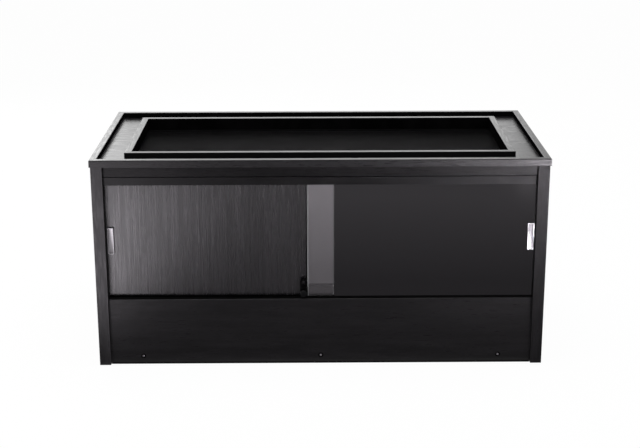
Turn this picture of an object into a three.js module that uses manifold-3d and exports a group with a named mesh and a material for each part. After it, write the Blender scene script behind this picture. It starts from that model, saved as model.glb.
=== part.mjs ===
// Terrarium cabinet of black wood-grain board, with two sliding glass doors, a lock and a lift-out mesh lid.
// Millimetres, +Z up. The origin is on the ground under the middle of the footprint, the front faces -Y and
// +X is to the right of someone who looks at the front.
import * as THREE from "three";
import { mergeVertices } from "three/addons/utils/BufferGeometryUtils.js";
import Module from "manifold-3d";

const wasm = await Module();
wasm.setup();

// ---- Driving dimensions ----
const overallWidth = 1200; // outside of the rim
const overallDepth = 600;
const overallHeight = 573.5; // ground to the top of the rim
const fitGap = 0.2; // between faces that touch on the real cabinet
const mitreGap = 0.3; // across each mitre joint

const rimWidth = 18;
const rimHeight = 19;
const rimStand = 15; // how far the rim stands above the deck
const rimOverhang = 3; // past the side panels, front and back edges
const rimRound = 2;

const sideThickness = 30;
const boardArris = 0.8; // small chamfer along every board edge
const glideHeight = 2.5;
const glideRadius = 11;
const glideInset = 24; // centre of a glide from the side panel's front or back edge

const frontThickness = 22; // plinth and header rail
const frontSetback = 12; // behind the side panels' front edges
const plinthHeight = 185.5;
const plinthClearance = 1; // air under the plinth
const headerHeight = 31;
const shadowGapHeight = 2; // along the header's lower front edge
const shadowGapDepth = 7;

const floorThickness = 15;
const floorClearance = 16; // air under the floor
const backThickness = 15;
const backInset = 17; // behind the side panels' back edges there is this much left open
const deckThickness = 18;
const deckLap = 4; // thin edge of the deck that laps over the carcass

const glassThickness = 4;
const glassPlay = 1; // sideways room in a channel
const paneGap = 8; // air between the two panes
const paneOverlap = 71;
const paneEndGap = 1; // from a closed pane to the side panel
const paneEngagement = 8.5; // how far a pane stands in the upper channel
const glassArris = 0.5;
const trackLip = 2;
const trackFin = 1.5;
const trackBase = 2;
const trackInset = 0.5; // behind the plinth and header faces
const upperTrackHeight = 21;
const lowerTrackHeight = 6;

const pullWidth = 17;
const pullLength = 73;
const pullThickness = 6;
const pullWall = 2.2;
const pullFloor = 1.2;
const pullEdgeInset = 2; // from the pane's outer edge
const leftPullHeight = 347.5; // middle of the pull above the ground
const rightPullHeight = 358.5;
const pullCorner = 1.6;

const lockWidth = 17;
const lockStandoff = 2; // from the lock plate to the edge of the right pane
const lockTopHeight = 243; // top of the arch above the ground
const lockTrackClearance = 1;
const lockSkin = 1.5; // each jaw that grips the pane
const lockJawReach = 1.5; // of the jaws over the pane
const lockJawHeight = 24;
const lockWindowWidth = 8.4;
const lockWindowHeight = 17;
const lockRailTop = 6; // arch above the window
const barrelRadius = 9.3;
const barrelLength = 10;
const barrelEdge = 1;
const plugRadius = 5.5;
const plugClearance = 0.3;
const plugProud = 0.5; // in front of the barrel
const keyholeWidth = 1.6;
const keyholeHeight = 7;
const keyholeDepth = 5;
const padRadius = 6;
const padGap = 0.3; // to the rear pane

const lidMargin = 64; // deck that shows between the rim and the lid
const lidBarWidth = 18;
const lidBarRound = 1.2;
const lidTongueWidth = 6;
const lidTongueDrop = 18.5;
const lidPlay = 0.5; // round the tongue in the cut-out
const meshThickness = 1.5;
const meshWire = 4.4;
const meshColumns = 20;
const meshRows = 8;
const meshEdgeInset = 1; // behind the tongue's outer face
const battenHeight = 4;

const plinthScrewInset = 102; // outer plinth screws from the inside of the side panels
const plinthScrewDrop = 1; // above the middle of the floor panel
const plinthScrewLength = 45;
const plinthScrewHead = 3.8;
const plinthScrewShank = 2.1;
const sideScrewLength = 62;
const sideScrewHead = 5;
const sideScrewShank = 3.2;
const sideScrewInset = 70; // from the front or back end of the board it enters
const screwHeadDepth = 3.4;
const screwClearance = 0.3;
const screwRecess = 2.2;
const roundSides = 12;

// ---- Places worked out from them ----
const halfWidth = overallWidth / 2;
const halfDepth = overallDepth / 2;
const carcassTop = overallHeight - rimHeight;
const carcassHalf = halfWidth - rimOverhang;
const inside = carcassHalf - sideThickness; // x of the side panels' inner faces
const sideFront = -halfDepth + rimOverhang;
const sideBack = halfDepth - rimOverhang;
const boardEnd = inside - fitGap;

const frontFace = sideFront + frontSetback;
const frontBack = frontFace + frontThickness;
const plinthTop = plinthClearance + plinthHeight;
const headerBottom = carcassTop - headerHeight;
const backOuter = sideBack - backInset;
const backInner = backOuter - backThickness;
const floorTop = floorClearance + floorThickness;
const floorMiddle = floorClearance + floorThickness / 2;
const deckTop = overallHeight - rimStand;
const deckBottom = deckTop - deckThickness;
const lapBottom = deckTop - deckLap;

const channel = glassThickness + glassPlay;
const panePitch = glassThickness + paneGap;
const trackFront = frontFace + trackInset;
const trackWidth = 2 * trackLip + panePitch + channel;
const lowerTrackBottom = plinthTop + fitGap;
const upperTrackTop = headerBottom - fitGap;
const frontPaneY = trackFront + trackLip + channel / 2;
const rearPaneY = frontPaneY + panePitch;
const paneBottom = lowerTrackBottom + trackBase + fitGap;
const paneTop = upperTrackTop - upperTrackHeight + paneEngagement;
const paneHeight = paneTop - paneBottom;
const paneWidth = inside - paneEndGap + paneOverlap / 2;
const paneMiddleX = (inside - paneEndGap - paneOverlap / 2) / 2;

const lidHalfX = halfWidth - rimWidth - lidMargin;
const lidHalfY = halfDepth - rimWidth - lidMargin;
const lidInnerX = lidHalfX - lidBarWidth;
const lidInnerY = lidHalfY - lidBarWidth;
const tongueX = lidInnerX + lidTongueWidth;
const tongueY = lidInnerY + lidTongueWidth;
const lidBottom = deckTop + fitGap;
const tongueBottom = lidBottom - lidTongueDrop;
const meshTop = tongueBottom - fitGap;
const battenTop = meshTop - meshThickness - fitGap;

// ---- Materials ----
function material(color, roughness, metalness = 0) {
  return new THREE.MeshStandardMaterial({ color, roughness, metalness });
}
const blackBoard = material(0x2c2a2d, 0.42);
const blackTrack = material(0x1b1a1c, 0.5);
const glass = material(0x9db0ad, 0.05);
glass.transparent = true;
glass.opacity = 0.35;
const satinAluminium = material(0xc9cbce, 0.35, 1);
const blackMoulding = material(0x111113, 0.45);
const darkMetal = material(0x55585c, 0.35, 0.8);
const blackWire = material(0x161618, 0.5, 0.4);
const blackScrew = material(0x232326, 0.4, 0.7);
const blackRubber = material(0x0f0f10, 0.85);

// ---- Geometry helpers ----
function toSolid(geometry) {
  const bare = geometry.clone();
  bare.deleteAttribute("normal");
  bare.deleteAttribute("uv");
  const merged = mergeVertices(bare, 1e-4);
  return new wasm.Manifold(
    new wasm.Mesh({
      numProp: 3,
      vertProperties: merged.attributes.position.array,
      triVerts: new Uint32Array(merged.index.array),
    }),
  );
}

function toGeometry(solid) {
  const mesh = solid.getMesh();
  const geometry = new THREE.BufferGeometry();
  geometry.setAttribute("position", new THREE.BufferAttribute(mesh.vertProperties, 3));
  geometry.setIndex(new THREE.BufferAttribute(mesh.triVerts, 1));
  geometry.computeVertexNormals();
  return geometry;
}

// Cuts every cutter out of the geometry. All are in the same coordinates.
function cut(geometry, cutters) {
  let solid = toSolid(geometry);
  for (const cutter of cutters) solid = solid.subtract(toSolid(cutter));
  return toGeometry(solid);
}

function fuse(geometries) {
  const [first, ...rest] = geometries.map(toSolid);
  return toGeometry(rest.reduce((whole, part) => whole.add(part), first));
}

function addMesh(parent, name, geometry, look, position = [0, 0, 0], rotation = [0, 0, 0]) {
  const mesh = new THREE.Mesh(geometry, look);
  mesh.name = name;
  mesh.position.set(...position);
  mesh.rotation.set(...rotation);
  parent.add(mesh);
  return mesh;
}

function roundedRectangle(x0, y0, x1, y1, radius) {
  const shape = new THREE.Shape();
  shape.moveTo(x0 + radius, y0);
  shape.lineTo(x1 - radius, y0);
  shape.absarc(x1 - radius, y0 + radius, radius, -Math.PI / 2, 0);
  shape.lineTo(x1, y1 - radius);
  shape.absarc(x1 - radius, y1 - radius, radius, 0, Math.PI / 2);
  shape.lineTo(x0 + radius, y1);
  shape.absarc(x0 + radius, y1 - radius, radius, Math.PI / 2, Math.PI);
  shape.lineTo(x0, y0 + radius);
  shape.absarc(x0 + radius, y0 + radius, radius, Math.PI, 1.5 * Math.PI);
  return shape;
}

function polygon(points) {
  return new THREE.Shape(points.map(([x, y]) => new THREE.Vector2(x, y)));
}

// A block between two corners, with its edges chamfered when arris is over 0.
function block(low, high, arris = 0) {
  const size = high.map((value, i) => value - low[i]);
  const middle = high.map((value, i) => (value + low[i]) / 2);
  if (arris === 0) return new THREE.BoxGeometry(...size).translate(...middle);
  const [x, y] = [size[0] / 2 - arris, size[1] / 2 - arris];
  const shape = polygon([[-x, -y], [x, -y], [x, y], [-x, y]]);
  const geometry = new THREE.ExtrudeGeometry(shape, {
    depth: size[2] - 2 * arris,
    bevelThickness: arris,
    bevelSize: arris,
    bevelSegments: 1,
  });
  return geometry.translate(middle[0], middle[1], low[2] + arris);
}

// A round bar on the Y axis, from a profile of [radius, y] pairs that runs towards +Y.
function turned(profile, sides = roundSides) {
  return new THREE.LatheGeometry(profile.map(([r, y]) => new THREE.Vector2(r, y)), sides);
}

// A board is modelled about its own middle and placed by its mesh. The cutters are in the cabinet's coordinates.
function addBoard(parent, name, low, high, look, cutters = []) {
  const middle = high.map((value, i) => (value + low[i]) / 2);
  const back = middle.map((value) => -value);
  const half = high.map((value, i) => (value - low[i]) / 2);
  const plain = block(half.map((value) => -value), half, boardArris);
  const moved = cutters.map((cutter) => cutter.clone().translate(...back));
  addMesh(parent, name, moved.length ? cut(plain, moved) : plain, look, middle);
}

// A straight strip along X whose section has its outer face at y = 0, with both ends mitred towards +Y.
function mitredStrip(section, length, width) {
  const strip = new THREE.ExtrudeGeometry(section, { depth: length, bevelEnabled: false, curveSegments: 3 });
  strip.applyMatrix4(
    new THREE.Matrix4().makeBasis(
      new THREE.Vector3(0, 1, 0),
      new THREE.Vector3(0, 0, 1),
      new THREE.Vector3(1, 0, 0),
    ),
  );
  strip.translate(-length / 2, 0, 0);
  const end = length / 2 - mitreGap / Math.SQRT2;
  const reach = 2 * width;
  const tall = overallHeight;
  const wedges = [1, -1].map((side) => {
    const wedge = new THREE.ExtrudeGeometry(
      polygon([[end + reach, -reach], [end + 3 * reach, -reach], [end + 3 * reach, reach], [end - reach, reach]]),
      { depth: 2 * tall, bevelEnabled: false },
    ).translate(0, 0, -tall);
    return side > 0 ? wedge : wedge.rotateY(Math.PI);
  });
  return cut(strip, wedges);
}

// Four mitred strips round a rectangle, named front, back, left and right.
function addMitredFrame(parent, prefix, suffix, section, halfX, halfY, z, width, look) {
  const long = mitredStrip(section, 2 * halfX, width);
  const short = mitredStrip(section, 2 * halfY, width);
  addMesh(parent, `${prefix}_front${suffix}`, long, look, [0, -halfY, z]);
  addMesh(parent, `${prefix}_back${suffix}`, long, look, [0, halfY, z], [0, 0, Math.PI]);
  addMesh(parent, `${prefix}_left${suffix}`, short, look, [-halfX, 0, z], [0, 0, -Math.PI / 2]);
  addMesh(parent, `${prefix}_right${suffix}`, short, look, [halfX, 0, z], [0, 0, Math.PI / 2]);
}

// ---- Screws and their holes ----
// A countersunk screw on the Y axis: its head's face is at y = 0 and its tip points to +Y.
function screwProfile(head, shank, length, extra = 0) {
  return [
    [0, -extra],
    [head + extra, -extra],
    [head + extra, 0.6],
    [shank + extra, screwHeadDepth],
    [shank + extra, length - shank],
    [0, length + extra],
  ];
}

function screw(head, shank, length) {
  const recess = [
    block([-head * 0.55, -1, -0.5], [head * 0.55, screwRecess, 0.5]),
    block([-0.5, -1, -head * 0.55], [0.5, screwRecess, head * 0.55]),
  ];
  return cut(turned(screwProfile(head, shank, length)), recess);
}

function screwHole(head, shank, length) {
  return turned(screwProfile(head, shank, length, screwClearance));
}

const plinthScrewZ = floorMiddle + plinthScrewDrop;
const plinthScrews = [
  { name: "plinth_screw_left", x: -inside + plinthScrewInset - 15 },
  { name: "plinth_screw_centre", x: 0 },
  { name: "plinth_screw_right", x: inside - plinthScrewInset + 15 },
];

const sideScrews = [
  { name: "floor_front", board: "floor", y: frontBack + sideScrewInset, z: floorMiddle },
  { name: "floor_rear", board: "floor", y: backInner - sideScrewInset, z: floorMiddle },
  { name: "plinth_low", board: "plinth", y: frontFace + frontThickness / 2, z: plinthClearance + plinthHeight * 0.3 },
  { name: "plinth_high", board: "plinth", y: frontFace + frontThickness / 2, z: plinthClearance + plinthHeight * 0.8 },
  { name: "header", board: "header", y: frontFace + frontThickness / 2, z: headerBottom + headerHeight / 2 },
  { name: "back_low", board: "back", y: backInner + backThickness / 2, z: floorTop + sideScrewInset },
  { name: "back_high", board: "back", y: backInner + backThickness / 2, z: deckBottom - sideScrewInset },
  { name: "deck_front", board: "deck", y: frontBack + sideScrewInset, z: (deckBottom + lapBottom) / 2 },
  { name: "deck_rear", board: "deck", y: sideBack - sideScrewInset, z: (deckBottom + lapBottom) / 2 },
];

// Turns a shape that points along +Y so that it points inwards from the outside of one side panel.
function fromSide(geometry, side, spot) {
  return geometry.clone().rotateZ((side * Math.PI) / 2).translate(side * carcassHalf, spot.y, spot.z);
}

function sideHoles(side, wanted = () => true) {
  const hole = screwHole(sideScrewHead, sideScrewShank, sideScrewLength);
  return sideScrews.filter(wanted).map((spot) => fromSide(hole, side, spot));
}

function boardHoles(board) {
  return [-1, 1].flatMap((side) => sideHoles(side, (spot) => spot.board === board));
}

function plinthHoles() {
  const hole = screwHole(plinthScrewHead, plinthScrewShank, plinthScrewLength);
  return plinthScrews.map(({ x }) => hole.clone().translate(x, frontFace, plinthScrewZ));
}

function addScrews(parent) {
  const small = screw(plinthScrewHead, plinthScrewShank, plinthScrewLength);
  for (const { name, x } of plinthScrews) addMesh(parent, name, small, blackScrew, [x, frontFace, plinthScrewZ]);
  const large = screw(sideScrewHead, sideScrewShank, sideScrewLength);
  for (const [side, word] of [[-1, "left"], [1, "right"]]) {
    for (const spot of sideScrews) {
      const place = [side * carcassHalf, spot.y, spot.z];
      addMesh(parent, `${word}_screw_${spot.name}`, large, blackScrew, place, [0, 0, (side * Math.PI) / 2]);
    }
  }
}

// ---- Carcass ----
function addSidePanel(parent, name, side) {
  const [near, far] = [side * inside, side * carcassHalf];
  const low = [Math.min(near, far), sideFront, glideHeight + fitGap];
  const high = [Math.max(near, far), sideBack, carcassTop - fitGap];
  addBoard(parent, name, low, high, blackBoard, sideHoles(side));
}

function addGlides(parent) {
  const profile = [[0, 0], [glideRadius - 1, 0], [glideRadius, 1], [glideRadius, glideHeight], [0, glideHeight]];
  const glide = turned(profile, 24);
  for (const [side, word] of [[-1, "left"], [1, "right"]]) {
    for (const [end, y] of [["front", sideFront + glideInset], ["rear", sideBack - glideInset]]) {
      const x = side * (inside + sideThickness / 2);
      addMesh(parent, `glide_${end}_${word}`, glide, blackRubber, [x, y, 0], [Math.PI / 2, 0, 0]);
    }
  }
}

// The deck's thick middle drops between the side panels and its thin lap rests on their tops, inside the rim.
function addDeck(parent) {
  const middle = block([-boardEnd, frontBack + fitGap, deckBottom], [boardEnd, sideBack, lapBottom]);
  const lapX = halfWidth - rimWidth - fitGap;
  const lapY = halfDepth - rimWidth - fitGap;
  const lap = block([-lapX, -lapY, lapBottom], [lapX, lapY, deckTop]);
  const [x, y] = [tongueX + lidPlay, tongueY + lidPlay];
  const opening = block([-x, -y, deckBottom - 1], [x, y, deckTop + 1]);
  const deck = cut(fuse([middle, lap]), [opening, ...boardHoles("deck")]);
  addMesh(parent, "top_deck", deck.translate(0, 0, -deckTop), blackBoard, [0, 0, deckTop]);
}

// Two channels with an open slot between their middle fins. Section: x towards the back, y up from the base.
function trackSection(height) {
  const right = trackWidth;
  const first = trackLip;
  const second = first + channel;
  const third = right - trackLip - channel;
  return polygon([
    [0, 0],
    [right, 0],
    [right, height],
    [right - trackLip, height],
    [right - trackLip, trackBase],
    [third, trackBase],
    [third, height],
    [third - trackFin, height],
    [third - trackFin, trackBase],
    [second + trackFin, trackBase],
    [second + trackFin, height],
    [second, height],
    [second, trackBase],
    [first, trackBase],
    [first, height],
    [0, height],
  ]);
}

function addTrack(parent, name, height, y, z, turn) {
  const track = new THREE.ExtrudeGeometry(trackSection(height), { depth: 2 * boardEnd, bevelEnabled: false });
  track.translate(0, 0, -boardEnd);
  // Section x becomes +Y and section y becomes +Z; turned over, they become +Y and -Z.
  const axes = new THREE.Matrix4().makeBasis(
    new THREE.Vector3(0, 1, 0),
    new THREE.Vector3(0, 0, turn),
    new THREE.Vector3(turn, 0, 0),
  );
  addMesh(parent, name, track.applyMatrix4(axes), blackTrack, [0, y, z]);
}

function rimSection() {
  const shape = new THREE.Shape();
  const top = rimHeight;
  shape.moveTo(0, 0);
  shape.lineTo(rimWidth, 0);
  shape.lineTo(rimWidth, top - rimRound);
  shape.absarc(rimWidth - rimRound, top - rimRound, rimRound, 0, Math.PI / 2);
  shape.lineTo(rimRound, top);
  shape.absarc(rimRound, top - rimRound, rimRound, Math.PI / 2, Math.PI);
  return shape;
}

function buildCarcass() {
  const carcass = new THREE.Group();
  addSidePanel(carcass, "left_side_panel", -1);
  addSidePanel(carcass, "right_side_panel", 1);
  const shadowGap = block(
    [-inside, frontFace - 1, headerBottom - 1],
    [inside, frontFace + shadowGapDepth, headerBottom + shadowGapHeight],
  );
  addBoard(
    carcass,
    "plinth_board",
    [-boardEnd, frontFace, plinthClearance],
    [boardEnd, frontBack, plinthTop],
    blackBoard,
    [...boardHoles("plinth"), ...plinthHoles()],
  );
  addBoard(
    carcass,
    "header_rail",
    [-boardEnd, frontFace, headerBottom],
    [boardEnd, frontBack, carcassTop - fitGap],
    blackBoard,
    [...boardHoles("header"), shadowGap],
  );
  addBoard(
    carcass,
    "floor_panel",
    [-boardEnd, frontBack + fitGap, floorClearance],
    [boardEnd, backInner - fitGap, floorTop],
    blackBoard,
    [...boardHoles("floor"), ...plinthHoles()],
  );
  addBoard(
    carcass,
    "back_panel",
    [-boardEnd, backInner, floorClearance],
    [boardEnd, backOuter, deckBottom - fitGap],
    blackBoard,
    boardHoles("back"),
  );
  addDeck(carcass);
  addMitredFrame(carcass, "rim", "", rimSection(), halfWidth, halfDepth, carcassTop, rimWidth, blackBoard);
  addTrack(carcass, "lower_glass_track", lowerTrackHeight, trackFront, lowerTrackBottom, 1);
  addTrack(carcass, "upper_glass_track", upperTrackHeight, trackFront, upperTrackTop, -1);
  addGlides(carcass);
  addScrews(carcass);
  return carcass;
}

// ---- Sliding doors ----
function addPane(door, name) {
  const low = [-paneWidth / 2, -glassThickness / 2, 0];
  const high = [paneWidth / 2, glassThickness / 2, paneHeight];
  addMesh(door, name, block(low, high, glassArris), glass);
}

// A shallow tray with a raised wall, stuck to the face of the pane near its outer edge.
function addPull(door, name, side, height) {
  const [x, z] = [pullWidth / 2, pullLength / 2];
  const body = new THREE.ExtrudeGeometry(roundedRectangle(-x, -z, x, z, pullCorner), {
    depth: pullThickness,
    bevelEnabled: false,
    curveSegments: 3,
  });
  const [px, pz] = [x - pullWall, z - pullWall];
  const pocket = new THREE.ExtrudeGeometry(roundedRectangle(-px, -pz, px, pz, pullCorner), {
    depth: pullThickness,
    bevelEnabled: false,
    curveSegments: 3,
  }).translate(0, 0, pullFloor);
  const place = [
    side * (paneWidth / 2 - pullEdgeInset - pullWidth / 2),
    -glassThickness / 2 - fitGap,
    height - paneBottom,
  ];
  addMesh(door, name, cut(body, [pocket]), satinAluminium, place, [Math.PI / 2, 0, 0]);
}

function buildLeftDoor() {
  const door = new THREE.Group();
  addPane(door, "left_glass");
  addPull(door, "left_finger_pull", -1, leftPullHeight);
  door.position.set(-paneMiddleX, rearPaneY, paneBottom);
  return door;
}

// ---- Lock on the free edge of the right pane ----
// The group's origin is on the barrel's axis, in the middle of the glass.
const plateThickness = glassThickness + 2 * (fitGap + lockSkin);
const plateBottom = -barrelRadius;
const lockAxisZ = lowerTrackBottom + lowerTrackHeight + lockTrackClearance + barrelRadius;
const plateTop = lockTopHeight - lockAxisZ;
const barrelBack = -plateThickness / 2 - fitGap;

function lockPlate() {
  const half = lockWidth / 2;
  const outline = new THREE.Shape();
  outline.moveTo(-half, plateBottom);
  outline.lineTo(half, plateBottom);
  outline.lineTo(half, plateTop - half);
  outline.absarc(0, plateTop - half, half, 0, Math.PI);
  const windowHalf = lockWindowWidth / 2;
  const windowTop = plateTop - lockRailTop;
  const opening = new THREE.Path();
  opening.moveTo(-windowHalf, windowTop - lockWindowHeight);
  opening.lineTo(windowHalf, windowTop - lockWindowHeight);
  opening.lineTo(windowHalf, windowTop - windowHalf);
  opening.absarc(0, windowTop - windowHalf, windowHalf, 0, Math.PI);
  outline.holes.push(opening);
  const plate = new THREE.ExtrudeGeometry(outline, {
    depth: plateThickness,
    bevelEnabled: false,
    curveSegments: 8,
  })
    .translate(0, 0, -plateThickness / 2)
    .rotateX(Math.PI / 2);
  const paneEdge = half + lockStandoff;
  const jaws = block(
    [half - 1, -plateThickness / 2, plateBottom + 1],
    [paneEdge + lockJawReach, plateThickness / 2, plateBottom + 1 + lockJawHeight],
  );
  const slot = block(
    [paneEdge - fitGap, -glassThickness / 2 - fitGap, plateBottom - 1],
    [paneEdge + 2 * lockJawReach, glassThickness / 2 + fitGap, plateTop],
  );
  const bore = plugRadius + plugClearance;
  const plugHole = turned([[0, -lockWidth], [bore, -lockWidth], [bore, lockWidth], [0, lockWidth]], 24);
  return cut(fuse([plate, jaws]), [slot, plugHole]);
}

function lockBarrel() {
  const bore = plugRadius + plugClearance;
  return turned(
    [
      [bore, -barrelLength],
      [barrelRadius - barrelEdge, -barrelLength],
      [barrelRadius, -barrelLength + barrelEdge],
      [barrelRadius, 0],
      [bore, 0],
      [bore, -barrelLength],
    ],
    32,
  ).translate(0, barrelBack, 0);
}

function lockPlug() {
  const face = barrelBack - barrelLength - plugProud;
  const back = plateThickness / 2 + fitGap;
  const plug = turned([[0, face], [plugRadius, face], [plugRadius, back], [0, back]], 24);
  const keyhole = block(
    [-keyholeWidth / 2, face - 1, -keyholeHeight / 2],
    [keyholeWidth / 2, face + keyholeDepth, keyholeHeight / 2],
  );
  return cut(plug, [keyhole]);
}

function lockPad() {
  const front = plateThickness / 2 + 2 * fitGap;
  const back = glassThickness / 2 + paneGap - padGap;
  return turned([[0, front], [padRadius, front], [padRadius, back - 0.6], [padRadius - 0.6, back], [0, back]], 24);
}

function buildRightDoor() {
  const door = new THREE.Group();
  addPane(door, "right_glass");
  addPull(door, "right_finger_pull", 1, rightPullHeight);
  const lock = new THREE.Group();
  addMesh(lock, "lock_plate", lockPlate(), blackMoulding);
  addMesh(lock, "lock_barrel", lockBarrel(), darkMetal);
  addMesh(lock, "lock_plug", lockPlug(), darkMetal);
  addMesh(lock, "lock_pad", lockPad(), blackRubber);
  lock.position.set(-paneWidth / 2 - lockStandoff - lockWidth / 2, 0, lockAxisZ - paneBottom);
  door.add(lock);
  door.position.set(paneMiddleX, frontPaneY, paneBottom);
  return door;
}

// ---- Lid ----
// Section of a bar: its outer face is at x = 0, y = 0 is the top of the deck, and the tongue hangs below it.
function lidBarSection() {
  const shape = new THREE.Shape();
  const top = rimStand - fitGap;
  const tongueOuter = lidBarWidth - lidTongueWidth;
  shape.moveTo(0, 0);
  shape.lineTo(tongueOuter, 0);
  shape.lineTo(tongueOuter, -lidTongueDrop);
  shape.lineTo(lidBarWidth, -lidTongueDrop);
  shape.lineTo(lidBarWidth, top - lidBarRound);
  shape.absarc(lidBarWidth - lidBarRound, top - lidBarRound, lidBarRound, 0, Math.PI / 2);
  shape.lineTo(lidBarRound, top);
  shape.absarc(lidBarRound, top - lidBarRound, lidBarRound, Math.PI / 2, Math.PI);
  return shape;
}

// A flat net: wires both ways, joined at every crossing, with a border that the tongues clamp.
function lidMesh() {
  const [x, y] = [tongueX - meshEdgeInset, tongueY - meshEdgeInset];
  const [stepX, stepY] = [(2 * lidInnerX) / meshColumns, (2 * lidInnerY) / meshRows];
  const gaps = [];
  for (let column = 0; column < meshColumns; column++) {
    for (let row = 0; row < meshRows; row++) {
      const left = -lidInnerX + column * stepX + meshWire / 2;
      const front = -lidInnerY + row * stepY + meshWire / 2;
      gaps.push(block([left, front, -1], [left + stepX - meshWire, front + stepY - meshWire, meshThickness + 1]));
    }
  }
  return cut(block([-x, -y, 0], [x, y, meshThickness]), gaps);
}

function buildLid() {
  const lid = new THREE.Group();
  addMitredFrame(lid, "lid", "_bar", lidBarSection(), lidHalfX, lidHalfY, 0, lidBarWidth, blackBoard);
  addMesh(lid, "lid_mesh", lidMesh(), blackWire, [0, 0, meshTop - meshThickness - lidBottom]);
  const battenSection = polygon([
    [0, -battenHeight],
    [lidTongueWidth, -battenHeight],
    [lidTongueWidth, 0],
    [0, 0],
  ]);
  const battenZ = battenTop - lidBottom;
  addMitredFrame(lid, "mesh", "_batten", battenSection, tongueX, tongueY, battenZ, lidTongueWidth, blackBoard);
  lid.position.z = lidBottom;
  return lid;
}

const cabinet = new THREE.Group();
cabinet.add(buildCarcass(), buildLeftDoor(), buildRightDoor(), buildLid());

export default cabinet;
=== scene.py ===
import bpy
import math
from mathutils import Matrix, Vector


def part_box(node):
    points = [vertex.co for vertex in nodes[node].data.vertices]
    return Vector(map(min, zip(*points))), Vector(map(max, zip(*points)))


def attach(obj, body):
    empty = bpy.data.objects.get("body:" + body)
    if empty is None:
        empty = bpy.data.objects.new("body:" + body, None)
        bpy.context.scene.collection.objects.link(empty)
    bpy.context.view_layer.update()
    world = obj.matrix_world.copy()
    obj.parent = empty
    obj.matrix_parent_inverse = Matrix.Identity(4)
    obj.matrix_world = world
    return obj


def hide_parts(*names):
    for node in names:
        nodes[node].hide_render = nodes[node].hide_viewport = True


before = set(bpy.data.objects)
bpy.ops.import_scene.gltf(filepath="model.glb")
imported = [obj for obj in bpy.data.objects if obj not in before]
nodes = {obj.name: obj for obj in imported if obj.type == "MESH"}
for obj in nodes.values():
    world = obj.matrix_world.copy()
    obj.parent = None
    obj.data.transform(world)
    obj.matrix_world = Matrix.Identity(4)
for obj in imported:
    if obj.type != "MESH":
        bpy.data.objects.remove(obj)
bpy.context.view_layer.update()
bpy.ops.object.select_all(action="DESELECT")
print("frame loaded,", len(nodes), "parts")


def selectOnly(piece):
    bpy.ops.object.select_all(action="DESELECT")
    piece.select_set(True)
    bpy.context.view_layer.objects.active = piece


def applyAll(piece):
    selectOnly(piece)
    for modifier in list(piece.modifiers):
        bpy.ops.object.modifier_apply(modifier=modifier.name)


def settle(piece):  # puts the place into the mesh, so the object sits at the origin
    selectOnly(piece)
    bpy.ops.object.transform_apply(location=True, rotation=True, scale=True)


def addBox(name, low, high):
    middle = [(a + b) / 2 for a, b in zip(low, high)]
    bpy.ops.mesh.primitive_cube_add(size=1, location=middle)
    piece = bpy.context.active_object
    piece.name = name
    piece.scale = [b - a for a, b in zip(low, high)]
    settle(piece)
    return piece


# helpers for shader nodes; a value is a plain number, a tuple or another node's output
def newGroup(name, inputs, outputs):
    group = bpy.data.node_groups.new(name, "ShaderNodeTree")
    for direction, sockets in (("INPUT", inputs), ("OUTPUT", outputs)):
        for label, kind in sockets.items():
            group.interface.new_socket(name=label, in_out=direction, socket_type="NodeSocket" + kind)
    return group, group.nodes.new("NodeGroupInput").outputs, group.nodes.new("NodeGroupOutput").inputs


def addNode(tree, kind, **settings):
    node = tree.nodes.new(kind)
    for key, value in settings.items():
        setattr(node, key, value)
    return node


def feed(tree, socket, value):
    if isinstance(value, (int, float, tuple, list)):
        socket.default_value = value
    else:
        tree.links.new(value, socket)


def feedAll(tree, sockets, values):
    for socket, value in zip(sockets, values):
        feed(tree, socket, value)


def mathNode(tree, operation, *values, clamp=False):
    node = addNode(tree, "ShaderNodeMath", operation=operation, use_clamp=clamp)
    feedAll(tree, node.inputs, values)
    return node.outputs[0]


def vectorNode(tree, operation, *values):
    node = addNode(tree, "ShaderNodeVectorMath", operation=operation)
    feedAll(tree, node.inputs, values)
    return node.outputs[0]


def splitVector(tree, vector):
    node = addNode(tree, "ShaderNodeSeparateXYZ")
    feed(tree, node.inputs[0], vector)
    return node.outputs


def rangeNode(tree, value, fromLow, fromHigh, toLow=0.0, toHigh=1.0, smooth=False):
    node = addNode(tree, "ShaderNodeMapRange", clamp=True)
    node.interpolation_type = "SMOOTHSTEP" if smooth else "LINEAR"
    labels = ("Value", "From Min", "From Max", "To Min", "To Max")
    feedAll(tree, [node.inputs[label] for label in labels], (value, fromLow, fromHigh, toLow, toHigh))
    return node.outputs["Result"]


def mixColor(tree, factor, first, second):
    node = addNode(tree, "ShaderNodeMix", data_type="RGBA")
    # of the many sockets these three serve a colour mix
    feedAll(tree, (node.inputs[0], node.inputs[6], node.inputs[7]), (factor, first, second))
    return node.outputs[2]


def noiseNode(tree, vector, scale, detail, roughness=0.55):
    node = addNode(tree, "ShaderNodeTexNoise")
    labels = ("Vector", "Scale", "Detail", "Roughness")
    feedAll(tree, [node.inputs[label] for label in labels], (vector, scale, detail, roughness))
    return node.outputs["Fac"]


def mappingNode(tree, vector, scale, location=(0, 0, 0)):
    node = addNode(tree, "ShaderNodeMapping")
    sockets = [node.inputs[label] for label in ("Vector", "Scale", "Location")]
    feedAll(tree, sockets, (vector, scale, location))
    return node.outputs[0]


def groupNode(tree, group, vector, **values):
    node = addNode(tree, "ShaderNodeGroup", node_tree=group)
    feed(tree, node.inputs["Vector"], vector)
    for label, value in values.items():
        feed(tree, node.inputs[label], value)
    return node.outputs


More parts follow.
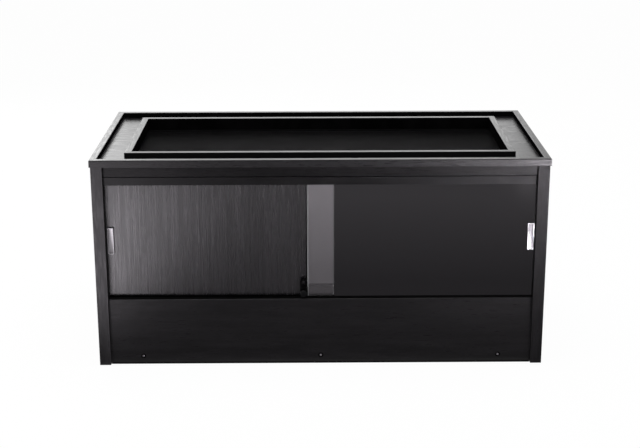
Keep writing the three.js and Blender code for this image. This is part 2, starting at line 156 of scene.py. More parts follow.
# printed wood grain: each noise, the part of its range that counts and its weight in the tone
grainLook = {
    "wander": {"scale": 2.2, "detail": 2.0},
    "shift": (0.12, 0.12, 0.12),
    "bands": {"scale": 5.0, "detail": 3.0, "roughness": 0.6},
    "bandRange": (0.36, 0.66),
    "bandWeight": 0.5,
    "lines": {"scale": 26.0, "detail": 5.0, "roughness": 0.62},
    "lineRange": (0.42, 0.68),
    "lineWeight": 0.5,
    "lineHeight": 0.6,
    "pores": {"scale": 95.0, "detail": 2.0, "roughness": 0.5},
    "poreRange": (0.60, 0.70),
    "poreWeight": 0.35,
}


def makeWoodGrain():
    # the vector comes in stretched along the grain
    look = grainLook
    group, given, result = newGroup(
        "Printed wood grain",
        {"Vector": "Vector", "Ground": "Color", "Streak": "Color", "Smooth": "Float", "Rough": "Float"},
        {"Color": "Color", "Roughness": "Float", "Height": "Float"},
    )
    wander = noiseNode(group, given["Vector"], **look["wander"])
    shifted = vectorNode(group, "MULTIPLY_ADD", wander, look["shift"], given["Vector"])
    broad = rangeNode(group, noiseNode(group, shifted, **look["bands"]), *look["bandRange"], smooth=True)
    fine = rangeNode(group, noiseNode(group, shifted, **look["lines"]), *look["lineRange"], smooth=True)
    pore = rangeNode(group, noiseNode(group, shifted, **look["pores"]), *look["poreRange"])
    lineTone = mathNode(group, "MULTIPLY", fine, look["lineWeight"])
    tone = mathNode(group, "MULTIPLY_ADD", broad, look["bandWeight"], lineTone)
    poreTone = mathNode(group, "MULTIPLY", pore, look["poreWeight"])
    light = mathNode(group, "SUBTRACT", tone, poreTone, clamp=True)
    feed(group, result["Color"], mixColor(group, light, given["Ground"], given["Streak"]))
    spread = mathNode(group, "SUBTRACT", given["Rough"], given["Smooth"])
    gap = mathNode(group, "SUBTRACT", 1.0, fine)
    feed(group, result["Roughness"], mathNode(group, "MULTIPLY_ADD", gap, spread, given["Smooth"]))
    ridge = mathNode(group, "MULTIPLY", fine, look["lineHeight"])
    feed(group, result["Height"], mathNode(group, "SUBTRACT", ridge, pore))
    return group


patchyEdgeLook = {"patches": {"scale": 30.0, "detail": 3.0}, "patchRange": (0.35, 0.6), "least": 0.35}


def makePatchyEdges():
    # a patchy mask along the edges of a box, given by its middle and half its size
    group, given, result = newGroup(
        "Patchy edges",
        {"Vector": "Vector", "Middle": "Vector", "Half": "Vector", "Width": "Float"},
        {"Edge": "Float"},
    )
    folded = vectorNode(group, "ABSOLUTE", vectorNode(group, "SUBTRACT", given["Vector"], given["Middle"]))
    x, y, z = splitVector(group, vectorNode(group, "SUBTRACT", given["Half"], folded))
    least = mathNode(group, "MINIMUM", mathNode(group, "MAXIMUM", x, y), mathNode(group, "MAXIMUM", y, z))
    least = mathNode(group, "MINIMUM", least, mathNode(group, "MAXIMUM", x, z))
    near = mathNode(group, "DIVIDE", least, given["Width"])
    patchy = noiseNode(group, given["Vector"], **patchyEdgeLook["patches"])
    keep = rangeNode(group, patchy, *patchyEdgeLook["patchRange"], patchyEdgeLook["least"], 1.0)
    marked = mathNode(group, "SUBTRACT", 1.0, near, clamp=True)
    feed(group, result["Edge"], mathNode(group, "MULTIPLY", marked, keep))
    return group


# rough, below and above a material's own roughness, and bump are for the materials that use the speckle
speckleLook = {
    "grainDetail": 3.0,
    "clouds": {"scale": 18.0, "detail": 3.0},
    "cloudRange": (0.35, 0.65),
    "rough": (-0.05, 0.06),
    "bump": 0.5,
}


def makeSpeckle():
    # fine moulding grain or dust: a soft tone change and a small height
    group, given, result = newGroup(
        "Speckle", {"Vector": "Vector", "Size": "Float"}, {"Tone": "Float", "Height": "Float"}
    )
    grain = noiseNode(group, given["Vector"], given["Size"], speckleLook["grainDetail"])
    feed(group, result["Height"], grain)
    clouds = noiseNode(group, given["Vector"], **speckleLook["clouds"])
    feed(group, result["Tone"], rangeNode(group, clouds, *speckleLook["cloudRange"], smooth=True))
    return group


woodGrain = makeWoodGrain()
patchyEdges = makePatchyEdges()
speckle = makeSpeckle()


def newMaterial(name, settings):
    material = bpy.data.materials.new(name)
    material.use_nodes = True
    tree = material.node_tree
    shader = tree.nodes["Principled BSDF"].inputs
    for label, value in settings.items():
        shader[label].default_value = value
    return material, tree, shader


def bareMaterial(name):  # a material of the studio, with nothing on its output yet
    material = bpy.data.materials.new(name)
    material.use_nodes = True
    tree = material.node_tree
    tree.nodes.remove(tree.nodes["Principled BSDF"])
    return material, tree, tree.nodes["Material Output"].inputs["Surface"]


def objectVector(tree):
    return addNode(tree, "ShaderNodeTexCoord").outputs["Object"]


def addBump(tree, shader, height, distance, strength):
    bump = addNode(tree, "ShaderNodeBump")
    sockets = [bump.inputs[label] for label in ("Height", "Distance", "Strength")]
    feedAll(tree, sockets, (height, distance, strength))
    feed(tree, shader["Normal"], bump.outputs["Normal"])


def shade(color, amount):
    return tuple(value * amount for value in color[:3]) + (1,)


board = {
    "ground": (0.0062, 0.0056, 0.0064, 1),
    "streak": (0.0165, 0.0150, 0.0170, 1),
    "smooth": 0.26,
    "rough": 0.40,
    "alongGrain": 0.9,
    "acrossGrain": 9.0,
    "step": (1.7, 3.1, 2.3),  # from one board's place in the grain to the next one's
    "bump": 0.6,
    "poreDepth": 0.00008,
    "topPoreDepth": 0.00002,
    "edgeWidth": 0.0016,
    # paler patchy edges: wear together with a painted highlight along the arrises
    "edgeWearAndHighlight": (0.030, 0.028, 0.031, 1),
}

# areas of a board with painted light, all made matt: painted shade on the side panels' inner faces and the
# upright faces of the rim and the lid, a painted contact shadow along the plinth's bottom edge, and
# painted light on the back's inner face, starting above the floor to leave a painted shade line at the
# joint
shadeAndLightZones = {
    "skin": 0.0002,
    "revealShade": (0.0012, 0.0011, 0.0013, 1),
    "footShadow": (0.0010, 0.0009, 0.0011, 1),
    "footShadowHeight": 0.0065,
    "footShadowFade": 0.0015,
    "floorShadeLine": 0.0065,
    "inside": (0.42, 0.40, 0.425, 1),
    "matt": 0.95,
}


def skinMask(tree, coordinate, face, inward):
    # 1 in the skin of a face and 0 deeper in the board; inward is the sign of the way into the board
    near = face + inward * shadeAndLightZones["skin"]
    far = face + inward * 2 * shadeAndLightZones["skin"]
    if inward > 0:
        return rangeNode(tree, coordinate, near, far, 1.0, 0.0)
    return rangeNode(tree, coordinate, far, near, 0.0, 1.0)


# the painted light of a board: a mask and its colour, or None
def boardPaintedLight(tree, vector, node, low, high):
    place = splitVector(tree, vector)
    x, y, z = place
    # painted shade on the side panels' inner faces
    if node.endswith("side_panel"):
        innerFace = min(abs(low[0]), abs(high[0]))
        return skinMask(tree, mathNode(tree, "ABSOLUTE", x), innerFace, 1), shadeAndLightZones["revealShade"]
    # painted shade on the rim's inner face and on both upright faces of each lid bar
    if node.startswith(("rim", "lid")):
        axis = 0 if "left" in node or "right" in node else 1
        faces = [(low[axis], 1), (high[axis], -1)]
        if node.startswith("rim"):
            faces = [min(faces, key=lambda face: abs(face[0]))]
        masks = [skinMask(tree, place[axis], face, inward) for face, inward in faces]
        return masks[0] if len(masks) == 1 else mathNode(tree, "MAXIMUM", *masks), shadeAndLightZones["revealShade"]
    # a painted contact shadow along the plinth's bottom edge
    if node == "plinth_board":
        footTop = low[2] + shadeAndLightZones["footShadowHeight"]
        return rangeNode(tree, z, footTop - shadeAndLightZones["footShadowFade"], footTop, 1.0, 0.0), shadeAndLightZones["footShadow"]
    # painted light on the back's inner face, from a little above the floor, so a painted shade line stays
    # at the joint
    if node == "back_panel":
        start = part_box("floor_panel")[1][2] + shadeAndLightZones["floorShadeLine"]
        above = rangeNode(tree, z, start, start + shadeAndLightZones["skin"])
        return mathNode(tree, "MULTIPLY", skinMask(tree, y, low[1], 1), above), shadeAndLightZones["inside"]
    return None


def boardMaterial(node, grainAxis, gloss, tone, blur, offset):
    low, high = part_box(node)
    material, tree, shader = newMaterial("Black board " + node, {"Specular IOR Level": gloss})
    vector = objectVector(tree)
    scale = [board["alongGrain"] if axis == grainAxis else board["acrossGrain"] for axis in "XYZ"]
    stretched = mappingNode(tree, vector, scale, [offset * step for step in board["step"]])
    # the tone darkens this board's copy of the laminate: painted shade where it is below 1
    grain = groupNode(
        tree, woodGrain, stretched,
        Ground=shade(board["ground"], tone), Streak=shade(board["streak"], tone),
        Smooth=board["smooth"] * blur, Rough=board["rough"] * blur,
    )
    edgeMask = groupNode(
        tree, patchyEdges, vector,
        Middle=[(a + b) / 2 for a, b in zip(low, high)],
        Half=[(b - a) / 2 for a, b in zip(low, high)],
        Width=board["edgeWidth"],
    )
    # paler patchy edges: wear together with a painted highlight
    color = mixColor(tree, edgeMask["Edge"], grain["Color"], board["edgeWearAndHighlight"])
    roughness = grain["Roughness"]
    # the board's painted shade, and painted light on the back's inner face, mixed into the colour and made
    # matt
    zone = boardPaintedLight(tree, vector, node, low, high)
    if zone:
        mask, paintedColor = zone
        color = mixColor(tree, mask, color, paintedColor)
        rest = mathNode(tree, "MULTIPLY", mathNode(tree, "SUBTRACT", 1.0, mask), roughness)
        roughness = mathNode(tree, "MULTIPLY_ADD", mask, shadeAndLightZones["matt"], rest)
    feed(tree, shader["Base Color"], color)
    feed(tree, shader["Roughness"], roughness)
    onTop = node.startswith(("rim", "lid", "top"))
    addBump(tree, shader, grain["Height"], board["topPoreDepth" if onTop else "poreDepth"], board["bump"])
    return material


# grain direction, gloss, tone and how blurred the reflections are; a tone below 1 darkens that board's
# copy of the same laminate as painted shade
boards = {
    "left_side_panel": ("Z", 0.23, 1.0, 1.0),
    "right_side_panel": ("Z", 0.13, 1.0, 1.0),
    "back_panel": ("Z", 0.26, 1.0, 1.0),
    "plinth_board": ("X", 0.18, 0.75, 1.0),
    "header_rail": ("X", 0.105, 0.6, 0.85),
    "floor_panel": ("X", 0.10, 0.4, 1.0),
    "top_deck": ("X", 0.25, 0.7, 0.85),
    "rim_front": ("X", 0.205, 0.7, 0.85),
    "rim_back": ("X", 0.26, 0.15, 0.7),
    "rim_left": ("Y", 0.24, 0.5, 0.8),
    "rim_right": ("Y", 0.26, 0.5, 0.8),
    "lid_front_bar": ("X", 0.155, 0.4, 0.8),
    "lid_back_bar": ("X", 0.22, 0.4, 0.8),
    "lid_left_bar": ("Y", 0.24, 0.4, 0.8),
    "lid_right_bar": ("Y", 0.22, 0.4, 0.8),
    "mesh_front_batten": ("X", 0.2, 0.8, 1.0),
    "mesh_back_batten": ("X", 0.2, 0.8, 1.0),
    "mesh_left_batten": ("Y", 0.2, 0.8, 1.0),
    "mesh_right_batten": ("Y", 0.2, 0.8, 1.0),
}
for count, (name, (axis, gloss, tone, blur)) in enumerate(boards.items()):
    nodes[name].material_slots[0].material = boardMaterial(name, axis, gloss, tone, blur, count)
print("boards finished")


# channels, screws, rubber, wire and the sheets of painted shade: dark and light tone, roughness, size and
# depth of the grain
speckled = {
    "Black upper channel": {
        "dark": (0.003, 0.0027, 0.0031, 1), "light": (0.0055, 0.0050, 0.0057, 1),
        "rough": 0.33, "size": 700.0, "depth": 0.00003, "shader": {"Specular IOR Level": 0.125},
    },
    # darker and duller than the upper channel of the same plastic: painted shade
    "Black lower channel with painted shade": {
        "dark": (0.001, 0.001, 0.001, 1), "light": (0.002, 0.002, 0.002, 1),
        "rough": 0.5, "size": 700.0, "depth": 0.00003, "shader": {"Specular IOR Level": 0.02},
    },
    # also the colour of painted shade pieces: the plinth screw rings and the strip at the film's end
    "Black moulding and painted shade": {
        "dark": (0.0010, 0.0010, 0.0011, 1), "light": (0.002, 0.002, 0.0021, 1),
        "rough": 0.34, "size": 1500.0, "depth": 0.00002, "shader": {"Specular IOR Level": 0.04},
    },
    "Dark plated metal": {
        "dark": (0.013, 0.0135, 0.014, 1), "light": (0.024, 0.0245, 0.025, 1),
        "rough": 0.24, "size": 2500.0, "depth": 0.00001, "shader": {"Metallic": 1.0},
    },
    "Black screw": {
        "dark": (0.012, 0.012, 0.013, 1), "light": (0.03, 0.03, 0.032, 1),
        "rough": 0.33, "size": 1800.0, "depth": 0.00002, "shader": {"Metallic": 0.6},
    },
    "Bright steel": {
        "dark": (0.40, 0.39, 0.40, 1), "light": (0.55, 0.54, 0.55, 1),
        "rough": 0.3, "size": 1800.0, "depth": 0.00002, "shader": {"Metallic": 1.0},
    },
    "Black rubber": {
        "dark": (0.006, 0.006, 0.006, 1), "light": (0.012, 0.012, 0.012, 1),
        "rough": 0.75, "size": 1200.0, "depth": 0.00005, "shader": {},
    },
    "Black wire": {
        "dark": (0.0009, 0.0008, 0.0010, 1), "light": (0.0022, 0.0021, 0.0024, 1),
        "rough": 0.42, "size": 3000.0, "depth": 0.00001, "shader": {"Specular IOR Level": 0.04},
    },
    # the sheets of painted shade on the upright faces
    "Matt black painted shade": {
        "dark": (0.0018, 0.0017, 0.0018, 1), "light": (0.0034, 0.0032, 0.0035, 1),
        "rough": 0.8, "size": 1200.0, "depth": 0.00002, "shader": {"Specular IOR Level": 0.0},
    },
}


def speckledMaterial(name, look):
    material, tree, shader = newMaterial(name, look["shader"])
    grain = groupNode(tree, speckle, objectVector(tree), Size=look["size"])
    feed(tree, shader["Base Color"], mixColor(tree, grain["Tone"], look["dark"], look["light"]))
    smoothest, roughest = (look["rough"] + change for change in speckleLook["rough"])
    feed(tree, shader["Roughness"], rangeNode(tree, grain["Tone"], 0.0, 1.0, smoothest, roughest))
    addBump(tree, shader, grain["Height"], look["depth"], speckleLook["bump"])
    return material


plain = {name: speckledMaterial(name, look) for name, look in speckled.items()}

# thin black sheets of painted shade on the upright faces within the rim and the lid
shadeSheet = {"thickness": 0.0001, "standOff": 0.00004, "inset": 0.0004}


def makeShadeSheet(node, axis, side, bottom, body):
    # side is the sign of the face along the axis; the strip stops short of the mitred corners
    low, high = (list(corner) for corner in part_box(node))
    short = high[axis] - low[axis] + shadeSheet["inset"]
    face = high[axis] if side > 0 else low[axis]
    near = face + side * shadeSheet["standOff"]
    far = near + side * shadeSheet["thickness"]
    low[1 - axis] += short
    high[1 - axis] -= short
    low[axis], high[axis] = sorted((near, far))
    low[2] = max(bottom, low[2])
    high[2] -= shadeSheet["inset"]
    strip = addBox(node + "_shade_sheet", low, high)
    strip.data.materials.append(plain["Matt black painted shade"])
    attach(strip, body)


# for each body: what the strips stand on, and each board with the axis and the sign of its inner face
shadeSheeted = {
    "cabinet": ("top_deck", {"rim_left": (0, 1), "rim_right": (0, -1), "rim_back": (1, -1)}),
    "lid": ("lid_mesh", {"lid_left_bar": (0, 1), "lid_right_bar": (0, -1), "lid_back_bar": (1, -1)}),
}
for body, (under, faces) in shadeSheeted.items():
    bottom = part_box(under)[1][2] + shadeSheet["inset"]
    for node, (axis, side) in faces.items():
        makeShadeSheet(node, axis, side, bottom, body)

plainParts = (
    ("upper_glass_track", "Black upper channel"),
    ("lower_glass_track", "Black lower channel with painted shade"),
    ("plinth_screw", "Bright steel"),
    ("left_screw", "Black screw"),
    ("right_screw", "Black screw"),
    ("glide", "Black rubber"),
    ("lock_pad", "Black rubber"),
)
for name, node in nodes.items():
    for start, material in plainParts:
        if name.startswith(start):
            node.material_slots[0].material = plain[material]

# a dark ring of painted shade round each plinth screw, standing for the shade of its recess
screwShadeRing = {"radius": 0.0048, "wire": 0.0021, "flat": 0.12, "around": 48, "across": 12}


def makeScrewShadeRing(side):
    low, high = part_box("plinth_screw_" + side)
    bpy.ops.mesh.primitive_torus_add(
        major_radius=screwShadeRing["radius"], minor_radius=screwShadeRing["wire"],
        major_segments=screwShadeRing["around"], minor_segments=screwShadeRing["across"],
        location=((low[0] + high[0]) / 2, low[1], (low[2] + high[2]) / 2), rotation=(math.pi / 2, 0, 0),
    )
    ring = bpy.context.active_object
    ring.name = "plinth_screw_shade_ring_" + side
    ring.scale = (1, 1, screwShadeRing["flat"])
    settle(ring)
    bpy.ops.object.shade_smooth()
    ring.data.materials.append(plain["Black moulding and painted shade"])
    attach(ring, "cabinet")


for side in ("left", "centre", "right"):
    makeScrewShadeRing(side)
print("tracks, screws and glides finished")


# the panes' glass, with a green edge and the faint smears of a wiped pane
pane = {
    "tint": (0.985, 0.975, 0.985, 1),
    "edgeTint": (0.18, 0.36, 0.32, 1),
    "edgeDepth": 0.002,
    "deep": 1.0,  # so deep that the pane's faces don't count as edges
    "glass": {"IOR": 1.5, "Transmission Weight": 1.0},
    "wipe": (1.0, 1.0, 0.35),
    "smears": {"scale": 9.0, "detail": 4.0},
    "smearRange": (0.5, 0.75),
    "smearRough": 0.02,
}


def glassMaterial(node):
    low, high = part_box(node)
    material, tree, shader = newMaterial("Glass " + node, pane["glass"])
    vector = objectVector(tree)
    middle = [(a + b) / 2 for a, b in zip(low, high)]
    half = [(high[0] - low[0]) / 2, pane["deep"], (high[2] - low[2]) / 2]
    edgeMask = groupNode(tree, patchyEdges, vector, Middle=middle, Half=half, Width=pane["edgeDepth"])
    feed(tree, shader["Base Color"], mixColor(tree, edgeMask["Edge"], pane["tint"], pane["edgeTint"]))
    wiped = noiseNode(tree, mappingNode(tree, vector, pane["wipe"]), **pane["smears"])
    smear = rangeNode(tree, wiped, *pane["smearRange"], 0.0, pane["smearRough"], smooth=True)
    feed(tree, shader["Roughness"], smear)
    return material


for name in ("left_glass", "right_glass"):
    nodes[name].material_slots[0].material = glassMaterial(name)

# dark film over each pane, except where the panes overlap
films = {
    "thickness": 0.00008,
    "standOff": 0.00004,
    "edge": 0.0006,
    "cuts": 4,
    "ground": (0.0040, 0.0035, 0.0043, 1),
    "streak": (0.0170, 0.0153, 0.0180, 1),
    "grainPlace": (5.3, 0.0, 2.1),
    "grainScale": (9.0, 9.0, 0.25),
    "grainHeight": 0.25,
    "grainRough": (0.20, 0.30),
    "grainGloss": 0.46,
    "lines": {"scale": 1.0, "detail": 2.0},
    "lineWidth": 0.0011,
    "lineStretch": 700.0,
    "lineDepth": 0.00019,
    "lineBump": 1.0,
    "plain": (0.0042, 0.0036, 0.0046, 1),
    "plainRough": (0.045, 0.075),
    "deeper": 0.75,
    "plainClouds": {"scale": 7.0, "detail": 3.0},
    "plainRange": (0.4, 0.7),
    "plainGloss": 0.5,
    "edgeStrip": 0.0022,
    "edgeLift": 0.005,
    # width of the black strip of painted shade at the film's end
    "shadeLine": 0.003,
    "edgeDark": (0.16, 0.17, 0.17, 1),
    "edgeLight": (0.30, 0.31, 0.31, 1),
    "edgeGrain": {"scale": 900.0, "detail": 3.0},
    "edgeRange": (0.3, 0.7),
    "edgeRough": (0.3, 0.5),
    "edgeGloss": 0.5,
}


def makeFilm(name, glass, left, right, body, material, lift=0.0):
    # on the front of the pane, from left to right
    low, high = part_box(glass)
    front = low[1] - films["standOff"]
    bottom, top = low[2] + films["edge"] + lift, high[2] - films["edge"]
    film = addBox(name, (left, front - films["thickness"], bottom), (right, front, top))
    bpy.ops.object.mode_set(mode="EDIT")
    bpy.ops.mesh.select_all(action="SELECT")
    bpy.ops.mesh.subdivide(number_cuts=films["cuts"])
    bpy.ops.object.mode_set(mode="OBJECT")
    film.data.materials.append(material)
    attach(film, body)


def grainFilmMaterial():
    material, tree, shader = newMaterial("Wood-grain film", {"Specular IOR Level": films["grainGloss"]})
    vector = objectVector(tree)
    smooth, rough = films["grainRough"]
    stretched = mappingNode(tree, vector, films["grainScale"], films["grainPlace"])
    grain = groupNode(
        tree, woodGrain, stretched,
        Ground=films["ground"], Streak=films["streak"], Smooth=smooth, Rough=rough,
    )
    across = 1 / films["lineWidth"]
    fine = mappingNode(tree, vector, (across, across, across / films["lineStretch"]))
    lines = noiseNode(tree, fine, **films["lines"])
    height = mathNode(tree, "MULTIPLY_ADD", grain["Height"], films["grainHeight"], lines)
    feed(tree, shader["Base Color"], grain["Color"])
    feed(tree, shader["Roughness"], grain["Roughness"])
    addBump(tree, shader, height, films["lineDepth"], films["lineBump"])
    return material


def plainFilmMaterial():
    material, tree, shader = newMaterial("Plain dark film", {"Specular IOR Level": films["plainGloss"]})
    cloud = noiseNode(tree, objectVector(tree), **films["plainClouds"])
    deeper = shade(films["plain"], films["deeper"])
    feed(tree, shader["Base Color"], mixColor(tree, cloud, films["plain"], deeper))
    rough = rangeNode(tree, cloud, *films["plainRange"], *films["plainRough"])
    feed(tree, shader["Roughness"], rough)
    return material


def groundEdgeHighlightMaterial():
    material, tree, shader = newMaterial("Ground glass edge with painted highlight", {"Specular IOR Level": films["edgeGloss"]})
    grain = noiseNode(tree, objectVector(tree), **films["edgeGrain"])
    feed(tree, shader["Base Color"], mixColor(tree, grain, films["edgeDark"], films["edgeLight"]))
    rough = rangeNode(tree, grain, *films["edgeRange"], *films["edgeRough"])
    feed(tree, shader["Roughness"], rough)
    return material


def makeFilms():
    frontLow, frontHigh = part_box("right_glass")
    rearLow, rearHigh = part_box("left_glass")
    edge = films["edge"]
    left, end = rearLow[0] + edge, frontLow[0] - films["shadeLine"]
    makeFilm("left_pane_film", "left_glass", left, end, "left_door", grainFilmMaterial())
    # a black strip of painted shade where the wood-grain film meets the front pane's edge
    makeFilm("left_film_shade_line", "left_glass", end, frontLow[0], "left_door", plain["Black moulding and painted shade"])
    left, right = rearHigh[0], frontHigh[0] - edge
    makeFilm("right_pane_film", "right_glass", left, right, "right_door", plainFilmMaterial())
    # the free edges that show through the clear overlap: a pale ground matt strip that also serves as a
    # painted highlight
    groundEdgeHighlight, strip, lift = groundEdgeHighlightMaterial(), films["edgeStrip"], films["edgeLift"]
    left, right = frontLow[0] + edge, rearHigh[0] - edge
    makeFilm("right_pane_edge_highlight", "right_glass", left, left + strip, "right_door", groundEdgeHighlight, lift)
    makeFilm("left_pane_edge_highlight", "left_glass", right - strip, right, "left_door", groundEdgeHighlight, lift)


makeFilms()
print("glass finished")

# pieces that keep a CAD solid's form, with softened edges
softening = {"merge": 0.000002, "flatAngle": 2, "segments": 3, "edgeAngle": 35}


def softCopy(name, body, width, material):
    source = nodes[name]
    piece = source.copy()
    piece.data = source.data.copy()
    piece.parent = None
    piece.matrix_world = Matrix.Identity(4)
    piece.name = name + "_finished"
    bpy.context.scene.collection.objects.link(piece)
    selectOnly(piece)
    bpy.ops.object.mode_set(mode="EDIT")
    bpy.ops.mesh.select_all(action="SELECT")
    bpy.ops.mesh.remove_doubles(threshold=softening["merge"])
    bpy.ops.mesh.dissolve_limited(angle_limit=math.radians(softening["flatAngle"]))
    bpy.ops.object.mode_set(mode="OBJECT")
    bevel = piece.modifiers.new("Soft edges", "BEVEL")
    bevel.width = width
    bevel.segments = softening["segments"]
    bevel.limit_method = "ANGLE"
    bevel.angle_limit = math.radians(softening["edgeAngle"])
    bevel.use_clamp_overlap = True
    applyAll(piece)
    bpy.ops.object.shade_smooth_by_angle(angle=math.radians(softening["edgeAngle"]))
    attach(piece, body)
    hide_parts(name)
    piece.data.materials.clear()
    piece.data.materials.append(material)


pulls = {
    "edge": 0.0006,
    "brush": (1400.0, 1400.0, 12.0),
    "lines": {"scale": 1.0, "detail": 3.0},
    "lineDepth": 0.00002,
    "toneRange": (0.35, 0.65),
    # the left pull's finish: the same aluminium made darker as painted shade
    "marked": {"dark": (0.105, 0.104, 0.106, 1), "light": (0.13, 0.129, 0.131, 1), "bump": 0.08},
    "satin": {"dark": (0.345, 0.345, 0.348, 1), "light": (0.40, 0.40, 0.403, 1), "bump": 0.06},
    "roughRange": (0.3, 0.7),
    "rough": (0.26, 0.32),
}
lockEdges = {"plate": 0.0007, "barrel": 0.0004, "plug": 0.0003}


def brushedMaterial(name, finish):
    material, tree, shader = newMaterial(name, {"Metallic": 1.0})
    lines = noiseNode(tree, mappingNode(tree, objectVector(tree), pulls["brush"]), **pulls["lines"])
    tone = rangeNode(tree, lines, *pulls["toneRange"])
    feed(tree, shader["Base Color"], mixColor(tree, tone, finish["dark"], finish["light"]))
    feed(tree, shader["Roughness"], rangeNode(tree, lines, *pulls["roughRange"], *pulls["rough"]))
    addBump(tree, shader, lines, pulls["lineDepth"], finish["bump"])
    return material


# the left pull: a darker copy of the right pull's aluminium, painted shade
shadedAluminium = brushedMaterial("Aluminium with painted shade", pulls["marked"])
softCopy("left_finger_pull", "left_door", pulls["edge"], shadedAluminium)
satinAluminium = brushedMaterial("Satin aluminium", pulls["satin"])
softCopy("right_finger_pull", "right_door", pulls["edge"], satinAluminium)
softCopy("lock_plate", "right_door", lockEdges["plate"], plain["Black moulding and painted shade"])
softCopy("lock_barrel", "right_door", lockEdges["barrel"], plain["Dark plated metal"])
softCopy("lock_plug", "lock_plug_body", lockEdges["plug"], plain["Dark plated metal"])
print("pulls and lock finished")

# wire cloth of the lid: two rows of straight wires, one lying on the other
wireCloth = {"pitch": 0.003, "wire": 0.0005, "sides": 6, "margin": 0.002, "lift": 0.42}


def makeWires(length, span, axis, middle):
    count = int(span / wireCloth["pitch"]) + 1
    across = Vector((1, 0, 0)) if axis == "Y" else Vector((0, 1, 0))
    start = Vector(middle) - across * (wireCloth["pitch"] * (count - 1) / 2)
    turn = (math.pi / 2, 0, 0) if axis == "Y" else (0, math.pi / 2, 0)
    bpy.ops.mesh.primitive_cylinder_add(
        vertices=wireCloth["sides"], radius=wireCloth["wire"] / 2, depth=length,
        location=start, rotation=turn,
    )
    wires = bpy.context.active_object
    settle(wires)
    array = wires.modifiers.new("Row of wires", "ARRAY")
    array.use_relative_offset = False
    array.use_constant_offset = True
    array.constant_offset_displace = across * wireCloth["pitch"]
    array.count = count
    applyAll(wires)
    return wires


def makeWireCloth():
    low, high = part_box("lid_mesh")
    sizeX, sizeY = high[0] - low[0], high[1] - low[1]
    x, y, z = [(a + b) / 2 for a, b in zip(low, high)]
    lift = wireCloth["wire"] * wireCloth["lift"]
    long = makeWires(sizeX, sizeY - wireCloth["margin"], "X", (x, y, z + lift))
    short = makeWires(sizeY, sizeX - wireCloth["margin"], "Y", (x, y, z - lift))
    selectOnly(long)
    short.select_set(True)
    bpy.ops.object.join()
    long.name = "lid_wire_cloth"
    long.data.materials.clear()
    long.data.materials.append(plain["Black wire"])
    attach(long, "lid")
    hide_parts("lid_mesh")


makeWireCloth()
print("wire cloth finished")

# white studio: a bright floor that keeps the shadow, and cards that only reflections see
studio = {
    "floorSize": 24,
    "floorColor": (0.95, 0.95, 0.95, 1),
    "floorGlow": 0.97,
    "worldLevel": 0.5,
    "cardTint": (1.0, 0.945, 1.01, 1),
    "cardFade": (-1.95, -0.95),
    "cardLevels": (0.80, 0.35),
    "leftLevel": 11.0,
    "leftCorner": (-0.56, -0.28),
    "leftSlopes": (-0.15, 0.40),
    "leftStart": (0.12, 0.80),
    "leftEnd": (-2.65, -2.15),
    "rightLevel": 80.0,
    "rightEdge": (0.82, 1.06),
    "rightEnd": (-2.6, -2.12),
    "aside": (0.45, 0.75),
    "roomLevel": 0.25,
}


def seenRays(tree):  # 1 for what the camera, a reflection or a look through glass sees
    path = addNode(tree, "ShaderNodeLightPath").outputs
    seen = mathNode(tree, "MAXIMUM", path["Is Camera Ray"], path["Is Glossy Ray"])
    return mathNode(tree, "MAXIMUM", seen, path["Is Transmission Ray"])


def makeFloor():
    bpy.ops.mesh.primitive_plane_add(size=studio["floorSize"], location=(0, 0, 0))
    floor = bpy.context.active_object
    floor.name = "studio_floor"
    material, tree, surface = bareMaterial("Studio floor")
    matt = addNode(tree, "ShaderNodeBsdfDiffuse")
    feed(tree, matt.inputs["Color"], studio["floorColor"])
    glow = addNode(tree, "ShaderNodeEmission")
    mix = addNode(tree, "ShaderNodeMixShader")
    share = mathNode(tree, "MULTIPLY", seenRays(tree), studio["floorGlow"])
    feedAll(tree, mix.inputs, (share, matt.outputs[0], glow.outputs[0]))
    feed(tree, surface, mix.outputs[0])
    floor.data.materials.append(material)


def makeCard(name, size, location, rotation, findLevel):
    bpy.ops.mesh.primitive_plane_add(size=1, location=location, rotation=rotation)
    card = bpy.context.active_object
    card.name = name
    card.scale = (size[0], size[1], 1)
    material, tree, surface = bareMaterial(name)
    glow = addNode(tree, "ShaderNodeEmission")
    feed(tree, glow.inputs["Color"], studio["cardTint"])
    feed(tree, glow.inputs["Strength"], findLevel(tree))
    feed(tree, surface, glow.outputs[0])
    card.data.materials.append(material)
    card.visible_camera = False
    card.visible_diffuse = False
    card.visible_shadow = False


def floorCardLevel(tree):
    geometry = addNode(tree, "ShaderNodeNewGeometry").outputs
    x, y, z = splitVector(tree, geometry["Position"])
    level = rangeNode(tree, y, *studio["cardFade"], *studio["cardLevels"])
    # a bright patch to the left, by the angle from the cabinet's left corner
    cornerX, cornerY = studio["leftCorner"]
    forward = mathNode(tree, "SUBTRACT", cornerY, y)
    slope = mathNode(tree, "DIVIDE", mathNode(tree, "SUBTRACT", cornerX, x), forward)
    left = rangeNode(tree, slope, *studio["leftSlopes"], 0.0, studio["leftLevel"], smooth=True)
    left = mathNode(tree, "MULTIPLY", left, rangeNode(tree, forward, *studio["leftStart"], smooth=True))
    left = mathNode(tree, "MULTIPLY", left, rangeNode(tree, y, *studio["leftEnd"], smooth=True))
    # and one far out on the right
    right = rangeNode(tree, x, *studio["rightEdge"], 0.0, studio["rightLevel"], smooth=True)
    farOut = rangeNode(tree, y, *studio["rightEnd"], 1.0, 0.0, smooth=True)
    right = mathNode(tree, "MULTIPLY", right, farOut)
    # both shine towards the cabinet's front only
    heading = splitVector(tree, geometry["Incoming"])
    turn = mathNode(tree, "ABSOLUTE", mathNode(tree, "DIVIDE", heading[0], heading[1]))
    ahead = rangeNode(tree, turn, *studio["aside"], 1.0, 0.0, smooth=True)
    patches = mathNode(tree, "MULTIPLY", mathNode(tree, "ADD", left, right), ahead)
    return mathNode(tree, "ADD", level, patches)


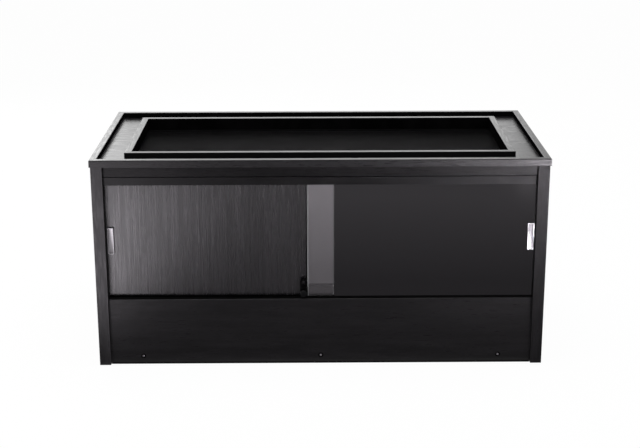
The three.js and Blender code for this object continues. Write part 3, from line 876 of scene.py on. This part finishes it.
def roomCardLevel(tree):
    return studio["roomLevel"]


# size, place, turn and brightness of each card
cards = {
    "floor_card": ((6, 3.7), (0, -2.16, 0.001), (0, 0, 0), floorCardLevel),
    "room_card": ((9, 4), (0, -4.7, 2.0), (math.pi / 2, 0, 0), roomCardLevel),
}

# place, what it faces, size, and the brightness of the box itself, where 1 is white
softboxes = {
    "Back left softbox": ((-1.75, 3.0, 1.75), (0, 0, 0.5), (1.7, 1.5), 1.9),
    "Back softbox": ((-0.75, 3.05, 1.75), (0, 0, 0.5), (3.9, 1.5), 1.45),
    "Left softbox": ((-2.4, -1.5, 1.3), (-0.4, 0, 0.4), (1.0, 1.4), 1.6),
    "Top softbox": ((0, -0.3, 3.0), (0, 0, 0.5), (2.4, 2.0), 3.6),
}


def addSoftbox(name, place, target, size, level):
    data = bpy.data.lights.new(name, "AREA")
    data.shape = "RECTANGLE"
    data.size, data.size_y = size
    data.energy = level * math.pi * size[0] * size[1]
    lamp = bpy.data.objects.new(name, data)
    bpy.context.scene.collection.objects.link(lamp)
    lamp.location = place
    aim = Vector(target) - Vector(place)
    lamp.rotation_euler = aim.to_track_quat("-Z", "Y").to_euler()
    lamp.visible_camera = False


def makeWorld():
    world = bpy.data.worlds.new("Studio")
    bpy.context.scene.world = world
    world.use_nodes = True
    tree = world.node_tree
    back = tree.nodes["Background"].inputs
    feed(tree, back["Color"], (1, 1, 1, 1))
    feed(tree, back["Strength"], rangeNode(tree, seenRays(tree), 0.0, 1.0, studio["worldLevel"], 1.0))


makeFloor()
for name, settings in cards.items():
    makeCard(name, *settings)
makeWorld()
for name, settings in softboxes.items():
    addSoftbox(name, *settings)
print("studio finished")

# place in metres, angles in radians, lens and sensor in millimetres
shot = {
    "place": (-0.0310, -3.7245, 1.4368),
    "yaw": 0.0086,
    "pitch": -0.294,
    "roll": -0.0021,
    "lens": 76.75,
    "sensor": 36,
}


def makeCamera():
    yaw, pitch, roll = shot["yaw"], shot["pitch"], shot["roll"]
    forward = Vector((math.sin(yaw) * math.cos(pitch), math.cos(yaw) * math.cos(pitch), math.sin(pitch)))
    right = forward.cross(Vector((0, 0, 1))).normalized()
    up = right.cross(forward)
    tiltedRight = right * math.cos(roll) + up * math.sin(roll)
    tiltedUp = up * math.cos(roll) - right * math.sin(roll)
    data = bpy.data.cameras.new("Camera")
    data.lens = shot["lens"]
    data.sensor_width = shot["sensor"]
    camera = bpy.data.objects.new("Camera", data)
    bpy.context.scene.collection.objects.link(camera)
    turn = Matrix((tiltedRight, tiltedUp, -forward)).transposed()
    camera.matrix_world = Matrix.Translation(shot["place"]) @ turn.to_4x4()
    bpy.context.scene.camera = camera


makeCamera()
bpy.context.scene.view_settings.view_transform = "Standard"

print("camera set")
